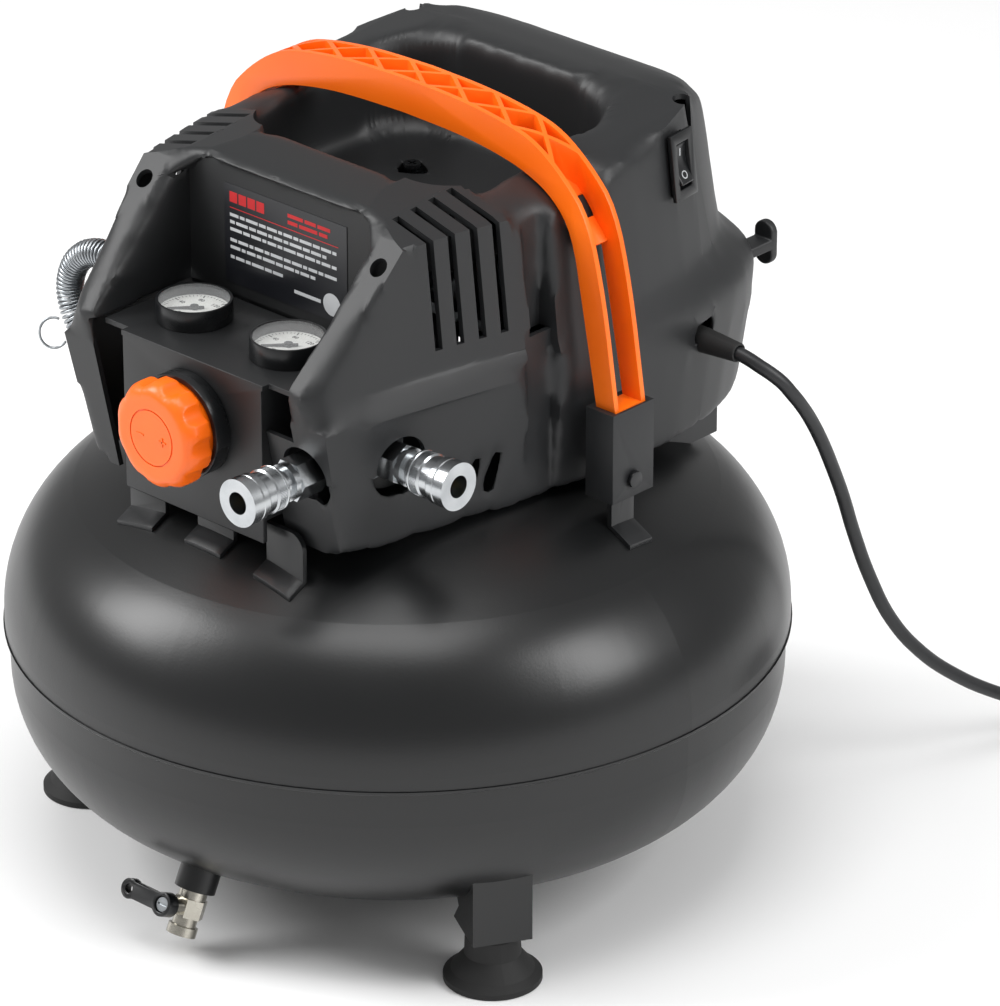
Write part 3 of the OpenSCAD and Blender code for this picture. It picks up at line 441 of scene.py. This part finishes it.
# %% Upper and lower cover
COVER_EDGE = 0.0042
moulding("upper_cover", "cover_upper_half", COVER_EDGE,
         [(6, crisp_on_cover), (20, crisp_front), (40, all_but_crown)])
moulding("lower_cover", "cover_lower_half", COVER_EDGE, [(12, crisp_below)])

# %% [markdown]
# ## The pressure knob
# The knob is a soft-edged moulding with ten finger scallops. Cutting it fine and relaxing it turns
# the sharp crests between the scallops into round lobes. The face inside the ring groove stays as
# it is, and raised plus and minus marks show which way the pressure goes.

# %% Knob
KNOB_EDGE, KNOB_FACE_RADIUS, KNOB_HEIGHT = 0.0017, 0.0178, 0.291
moulding("regulator_knob", "knob_body", KNOB_EDGE,
         [(14, lambda x, y, z: math.hypot(x, z - KNOB_HEIGHT) < KNOB_FACE_RADIUS)], "knob", 40)
mark_form = bmesh.new()
knob_face = Matrix.Translation((0, -0.1781, KNOB_HEIGHT)) @ UPRIGHT
for across, up, wide, high in ((-0.008, 0, 0.005, 0.0009), (0.008, 0, 0.005, 0.0009),
                               (0.008, 0, 0.0009, 0.005)):
    bmesh.ops.create_cube(mark_form, size=1, matrix=knob_face @ Matrix.Translation(
        (across, up, 0)) @ Matrix.Diagonal((wide, high, 0.0006, 1)))
knob_marks = applied(mark_form, "knob_marks")
dress(knob_marks, orange_plastic)
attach(knob_marks, "knob")

# %% [markdown]
# ## Coupler sleeves
# A quick coupler's sleeve is turned from bar: a plain waist, a chamfered shoulder at each end and
# a straight-knurled band for the fingers. The profile is a chain of points spun round the axis,
# and each strip of the band is inset and pushed in by 0.22 mm, which leaves a rib between strips.

# %% Turned and knurled sleeves
SLEEVE = [(8.1, 40), (11.2, 40), (12, 40.8), (12, 41.6), (11.7, 41.9), (11.7, 47.0), (12, 47.3),
          (12, 47.8), (11, 48.6), (11, 53.4), (12.0, 54.2), (12.5, 54.9), (12.5, 58.3),
          (11.9, 59), (8.1, 59)]


def turned_sleeve(source, place, body):
    """A sleeve spun round its own Z, moved to its place."""
    form = bmesh.new()
    ring = [form.verts.new((radius / 1000, 0, along / 1000)) for radius, along in SLEEVE]
    chain = [form.edges.new((a, b)) for a, b in zip(ring, ring[1:] + ring[:1])]
    bmesh.ops.spin(form, geom=ring + chain, cent=(0, 0, 0), axis=(0, 0, 1),
                   angle=math.radians(360), steps=96, use_merge=True)
    bmesh.ops.remove_doubles(form, verts=form.verts, dist=1e-6)
    bmesh.ops.recalc_face_normals(form, faces=form.faces)
    band = [face for face in form.faces
            if 0.0425 < face.calc_center_median().z < 0.0465
            and math.hypot(*face.calc_center_median().xy) > 0.010]
    bmesh.ops.inset_individual(form, faces=band, thickness=0.00018, depth=-0.00022)
    shaded(form, 24)
    form.transform(place)
    piece = applied(form, source + "_turned")
    dress(piece, chrome_plate)
    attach(piece, body)
    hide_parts(source)
    return piece


front_place = Matrix.Translation((0.074, -0.124, 0.283)) @ UPRIGHT
side_place = Matrix.Translation((0.075, -0.101, 0.283)) @ Matrix.Rotation(math.radians(90), 4, "Y")
front_sleeve = turned_sleeve("coupler_sleeve_front", front_place, "sleeve_front")
turned_sleeve("coupler_sleeve_side", side_place, "sleeve_side")
print("sleeve faces:", len(front_sleeve.data.polygons))

# %% [markdown]
# ## Rounded edges
# Moulded and machined pieces have a small radius on every edge, and that radius is what catches
# the light. Each piece below is a merged copy of its node. Flat faces are dissolved to one face
# each, and a bevel of a few segments runs along every edge that turns by more than 35 degrees.
# The handle and the cord hooks get the broadest ones, because they are thick, soft mouldings.

# %% Bevelled copies
BEVELS = {
    "carry_handle": (0.0011, 3, "base"), "handle_clips": (0.0009, 2, "base"),
    "regulator_collar": (0.0006, 2, "base"),
    "gauge_cases": (0.0005, 2, "base"), "cord_hooks": (0.0012, 3, "base"),
    "cover_brackets": (0.0005, 2, "base"), "mains_plug": (0.0008, 2, "base"),
    "cord_grommet": (0.0006, 2, "base"), "drain_lever": (0.0006, 2, "drain_handle"),
    "control_panel": (0.0008, 3, "base"),
    "switch_body": (0.0005, 2, "base"), "switch_rocker": (0.0007, 3, "rocker"),
    "handle_bolts": (0.0005, 2, "base"),
}


def eased(source, width, segments, body):
    """A copy of a frame node with a narrow bevel along its hard edges."""
    shape = spare_mesh(source)
    bmesh.ops.dissolve_limit(shape, angle_limit=math.radians(0.6), verts=shape.verts,
                             edges=shape.edges)
    hard = [edge for edge in shape.edges
            if edge.is_manifold and edge.calc_face_angle(0) > math.radians(35)]
    bmesh.ops.bevel(shape, geom=hard, offset=width, segments=segments, profile=0.5,
                    affect="EDGES", clamp_overlap=True, material=-1)
    piece = applied(shaded(shape, 38), source + "_eased")
    dress(piece, nodes[source].data.materials[0])
    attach(piece, body)
    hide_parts(source)
    return piece


eased_pieces = {source: eased(source, *recipe) for source, recipe in BEVELS.items()}
print("eased pieces:", len(eased_pieces),
      "faces:", sum(len(p.data.polygons) for p in eased_pieces.values()))

# %% [markdown]
# ## Printing on the dials
# A pressure gauge has a long mark for every number, short marks between, numbers inside the
# ring and a red line at the highest allowed pressure. The marks are thin plates pressed into one
# mesh per colour: boxes for the lines, and font outlines turned into a mesh for the numbers.

# %% Helpers for print
ink_black = finish("ink_black", "#111214", "#1a1b1d", 0.5, drift=60, grain=2200, bump=0.03)
ink_red = finish("ink_red", "#b3141a", "#c81f22", 0.5, drift=60, grain=2200, bump=0.03)
ink_pale = finish("ink_pale", "#b9bbbd", "#c8cacc", 0.5, drift=60, grain=2200, bump=0.03)


def plate(form, frame_of_plate, x, y, wide, high, thick=0.00012):
    """Adds a thin box at x, y of a plane whose matrix is given."""
    size = Matrix.Diagonal((wide, high, thick, 1))
    place = frame_of_plate @ Matrix.Translation((x, y, 0))
    bmesh.ops.create_cube(form, size=1, matrix=place @ size)


def words(form, frame_of_words, text, x, y, size):
    """Adds the outline of a number at x, y of a plane whose matrix is given."""
    curve = bpy.data.curves.new("digits", "FONT")
    curve.body = text
    curve.size = size
    curve.align_x = "CENTER"
    curve.align_y = "CENTER"
    curve.extrude = 0.00006
    curve.resolution_u = 3
    guide = bpy.data.objects.new("digits", curve)
    scene.collection.objects.link(guide)
    bpy.context.view_layer.update()
    mesh = bpy.data.meshes.new_from_object(
        guide.evaluated_get(bpy.context.evaluated_depsgraph_get()))
    bpy.data.objects.remove(guide)
    mesh.transform(frame_of_words @ Matrix.Translation((x, y, 0)))
    form.from_mesh(mesh)


def printed(form, name, material, body="base"):
    """Makes the collected plates and words one object in one finish."""
    piece = applied(form, name)
    dress(piece, material)
    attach(piece, body)
    return piece


# %% Marks on both dials
black_form, red_form = bmesh.new(), bmesh.new()
for side in (-1, 1):
    centre = Matrix.Translation((side * 0.034, -0.113, 0.33106))
    for step in range(41):
        turn = math.radians(225 - step * 6.75)
        place = centre @ Matrix.Rotation(turn, 4, "Z")
        if step % 8 == 0:
            plate(black_form, place, 0.0158, 0, 0.0030, 0.0006)
            words(black_form, centre, str(step * 5), 0.0112 * math.cos(turn),
                  0.0112 * math.sin(turn), 0.0036)
        else:
            plate(black_form, place, 0.0165, 0, 0.0014 if step % 4 else 0.0022, 0.0003)
    plate(red_form, centre @ Matrix.Rotation(math.radians(225 - 30 * 6.75), 4, "Z"), 0.0155, 0,
          0.0042, 0.0009, 0.00016)
    plate(black_form, centre, 0, -0.0075, 0.0080, 0.0009)
dial_print = printed(black_form, "dial_print", ink_black)
printed(red_form, "dial_limit", ink_red)
print("dial print faces:", len(dial_print.data.polygons))

# %% [markdown]
# ## Printing on the data label
# The label is a dark film with a red heading, a thin red rule and rows of pale print above a round
# sign. Only plain bars stand in for the words.

# %% Lines of the label
label_form, heading_form = bmesh.new(), bmesh.new()
label_plane = Matrix.Translation((0, -0.08046, 0.3615)) @ UPRIGHT
for start, wide in ((-0.040, 0.0055), (-0.0335, 0.0055), (-0.027, 0.0055), (-0.0205, 0.0055)):
    plate(heading_form, label_plane, start + wide / 2, 0.0205, wide, 0.0058)
for up, pieces in ((0.0220, (0.011, 0.008, 0.009)), (0.0182, (0.007, 0.013, 0.006))):
    start = 0.002
    for wide in pieces:
        plate(heading_form, label_plane, start + wide / 2, up, wide, 0.0020)
        start += wide + 0.0012
plate(heading_form, label_plane, -0.001, 0.0145, 0.078, 0.0004)
LABEL_ROWS = {0.0105: 0.078, 0.0065: 0.071, 0.0025: 0.080, -0.0035: 0.074, -0.0075: 0.062,
              -0.0130: 0.040}
for row, (up, length) in enumerate(LABEL_ROWS.items()):
    start, count = -0.040, row
    while start < -0.040 + length - 0.004:
        wide = (0.0062, 0.0034, 0.0085, 0.0048, 0.0071, 0.0028)[count % 6]
        plate(label_form, label_plane, start + wide / 2, up, wide, 0.0017)
        start += wide + 0.0010
        count += 1
bmesh.ops.create_circle(label_form, cap_ends=True, segments=40, radius=0.0062,
                        matrix=label_plane @ Matrix.Translation((0.033, -0.0185, 0.0001)))
plate(label_form, label_plane, 0.0155, -0.0190, 0.019, 0.0019)
printed(label_form, "label_print", ink_pale)
printed(heading_form, "label_heading", ink_red)

# %% [markdown]
# ## The strap spring
# A close-wound tension spring bows out of the left flank. Its wire is 1.9 mm thick and winds round
# a bowed centre line, so the path is a helix laid round an arc. On the real spring the last turn
# is bent out into an open loop. Here the loop is a separate ring of wire that stands 6 mm in front
# of the windings, and the windings stop short of the flank, so neither one is joined to anything.

# %% Spring wire
SPRING_CENTRE = Vector((-0.1266, -0.088, 0.298))
SPRING_BOW, SPRING_COIL, SPRING_TURNS = 0.028, 0.0068, 48


def spring_point(part):
    """Point of the wire after that part, 0 to 1, of the whole spring."""
    along = math.radians(64 + 232 * part)
    turned = 2 * math.pi * SPRING_TURNS * part
    outward = Vector((math.cos(along), 0, math.sin(along)))
    return SPRING_CENTRE + outward * (SPRING_BOW + SPRING_COIL * math.cos(turned)) + Vector(
        (0, SPRING_COIL * math.sin(turned), 0))


def wire(points, name, thick, closed=False):
    """A round wire through the points, as a mesh."""
    curve = bpy.data.curves.new(name, "CURVE")
    curve.dimensions = "3D"
    curve.bevel_depth = thick / 2
    curve.bevel_resolution = 1
    curve.use_fill_caps = True
    run = curve.splines.new("POLY")
    run.points.add(len(points) - 1)
    for knot, place in zip(run.points, points):
        knot.co = (*place, 1)
    run.use_cyclic_u = closed
    guide = bpy.data.objects.new(name, curve)
    scene.collection.objects.link(guide)
    bpy.context.view_layer.update()
    mesh = bpy.data.meshes.new_from_object(
        guide.evaluated_get(bpy.context.evaluated_depsgraph_get()))
    bpy.data.objects.remove(guide)
    piece = bpy.data.objects.new(name, mesh)
    scene.collection.objects.link(piece)
    for face in mesh.polygons:
        face.use_smooth = True
    dress(piece, zinc_steel)
    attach(piece, "base")
    return piece


spring = wire([spring_point(i / (SPRING_TURNS * 14)) for i in range(SPRING_TURNS * 14 + 1)],
              "strap_spring_wire", 0.0019)
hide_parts("strap_spring")
LOOP_AT = Vector((-0.149, -0.106, 0.2800))
loop = wire([LOOP_AT + Vector((0.0075 * math.cos(t) * 0.73, 0.0075 * math.cos(t) * 0.68,
                               0.0088 * math.sin(t)))
             for t in [math.radians(65 + 10 * i) for i in range(27)]],
            "strap_spring_loop", 0.0014)
print("spring faces:", len(spring.data.polygons))

# %% [markdown]
# ## Marks on the rocker
# The rocker carries a bar for on and a ring for off. Both are thin print on its hollow face, and
# they tilt with it.

# %% Rocker marks
HOLLOW_CENTRE, HOLLOW_RADIUS = 0.0305, 0.026
switch_place = (Matrix.Translation((0.1094, 0.098, 0.388))
                @ Matrix.Rotation(math.radians(8), 4, "Z")
                @ Matrix.Rotation(math.radians(-7), 4, "Y"))
rocker_place = (switch_place @ Matrix.Translation((-0.003, 0, 0))
                @ Matrix.Rotation(math.radians(-8), 4, "Y"))
mark_form = bmesh.new()
for low, tilt in ((0.0062, -13.5), (-0.0062, 13.5)):
    depth = HOLLOW_CENTRE - HOLLOW_RADIUS * math.cos(math.radians(tilt))
    seat = (rocker_place @ Matrix.Translation((depth, 0, low))
            @ Matrix.Rotation(math.radians(90 - tilt), 4, "Y"))
    if low > 0:
        bmesh.ops.create_cube(mark_form, size=1, matrix=seat @ Matrix.Diagonal(
            (0.0042, 0.0007, 0.0003, 1)))
    else:
        for step in range(24):
            spoke = seat @ Matrix.Rotation(math.radians(15 * step), 4, "Z")
            bmesh.ops.create_cube(mark_form, size=1, matrix=spoke @ Matrix.Translation(
                (0.0019, 0, 0)) @ Matrix.Diagonal((0.0006, 0.0007, 0.0003, 1)))
printed(mark_form, "rocker_marks", ink_pale, "rocker")

# %% Floor finish
studio_white = finish("studio_white", "#f4f4f4", "#fafafa", 0.8, drift=1, grain=40, bump=0.02)
dress(floor, studio_white)
